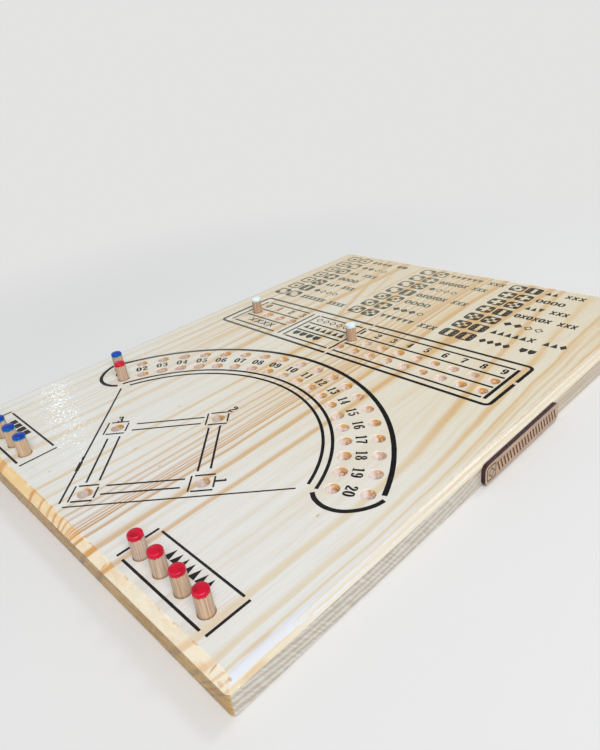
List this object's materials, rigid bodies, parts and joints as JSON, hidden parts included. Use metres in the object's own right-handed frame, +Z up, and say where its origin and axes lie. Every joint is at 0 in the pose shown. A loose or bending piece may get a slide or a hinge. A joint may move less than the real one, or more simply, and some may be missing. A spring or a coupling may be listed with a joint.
{
  "type": "tabletop baseball game",
  "caption": "Flat wooden peg board for a dice baseball game: bevelled board with a diamond, a curved run track, a scoreboard and lift-out dowel pegs.",
  "frame": {"origin": "centre of the board's underside", "axes": "+Z up out of the playing face, +Y from home plate towards the scoreboard, along the board's length, +X towards first base"},
  "size_m": [0.4032, 0.538, 0.0365],
  "materials": {
    "varnished_pine": "pale pine with tan growth bands under a clear gloss varnish, painted black line work on top",
    "red_tipped_dowel": "raw dowel, tip dipped in gloss red paint",
    "blue_tipped_dowel": "raw dowel, tip dipped in gloss blue paint",
    "white_tipped_dowel": "raw dowel, tip dipped in white paint",
    "engraved_plywood": "bare plywood with charred dark edges and burnt-orange engraving"
  },
  "bodies": {
    "board": {"board": "varnished_pine", "side_plaque": "engraved_plywood"},
    "visitor_peg_1": {"visitor_peg_1": "red_tipped_dowel"},
    "visitor_peg_2": {"visitor_peg_2": "red_tipped_dowel"},
    "visitor_peg_3": {"visitor_peg_3": "red_tipped_dowel"},
    "visitor_peg_4": {"visitor_peg_4": "red_tipped_dowel"},
    "visitor_score_peg": {"visitor_score_peg": "red_tipped_dowel"},
    "home_peg_1": {"home_peg_1": "blue_tipped_dowel"},
    "home_peg_2": {"home_peg_2": "blue_tipped_dowel"},
    "home_peg_3": {"home_peg_3": "blue_tipped_dowel"},
    "home_peg_4": {"home_peg_4": "blue_tipped_dowel"},
    "home_score_peg": {"home_score_peg": "blue_tipped_dowel"},
    "outs_marker_peg": {"outs_marker_peg": "white_tipped_dowel"},
    "inning_marker_peg": {"inning_marker_peg": "white_tipped_dowel"}
  },
  "joints": [
    {"name": "visitor_peg_1_lift", "type": "slide", "parent": "board", "child": "visitor_peg_1", "axis": [0, 0, 1], "range_m": [0, 0.02]},
    {"name": "visitor_peg_2_lift", "type": "slide", "parent": "board", "child": "visitor_peg_2", "axis": [0, 0, 1], "range_m": [0, 0.02]},
    {"name": "visitor_peg_3_lift", "type": "slide", "parent": "board", "child": "visitor_peg_3", "axis": [0, 0, 1], "range_m": [0, 0.02]},
    {"name": "visitor_peg_4_lift", "type": "slide", "parent": "board", "child": "visitor_peg_4", "axis": [0, 0, 1], "range_m": [0, 0.02]},
    {"name": "visitor_score_peg_lift", "type": "slide", "parent": "board", "child": "visitor_score_peg", "axis": [0, 0, 1], "range_m": [0, 0.02]},
    {"name": "home_peg_1_lift", "type": "slide", "parent": "board", "child": "home_peg_1", "axis": [0, 0, 1], "range_m": [0, 0.02]},
    {"name": "home_peg_2_lift", "type": "slide", "parent": "board", "child": "home_peg_2", "axis": [0, 0, 1], "range_m": [0, 0.02]},
    {"name": "home_peg_3_lift", "type": "slide", "parent": "board", "child": "home_peg_3", "axis": [0, 0, 1], "range_m": [0, 0.02]},
    {"name": "home_peg_4_lift", "type": "slide", "parent": "board", "child": "home_peg_4", "axis": [0, 0, 1], "range_m": [0, 0.02]},
    {"name": "home_score_peg_lift", "type": "slide", "parent": "board", "child": "home_score_peg", "axis": [0, 0, 1], "range_m": [0, 0.02]},
    {"name": "outs_marker_peg_lift", "type": "slide", "parent": "board", "child": "outs_marker_peg", "axis": [0, 0, 1], "range_m": [0, 0.02]},
    {"name": "inning_marker_peg_lift", "type": "slide", "parent": "board", "child": "inning_marker_peg", "axis": [0, 0, 1], "range_m": [0, 0.02]}
  ]
}
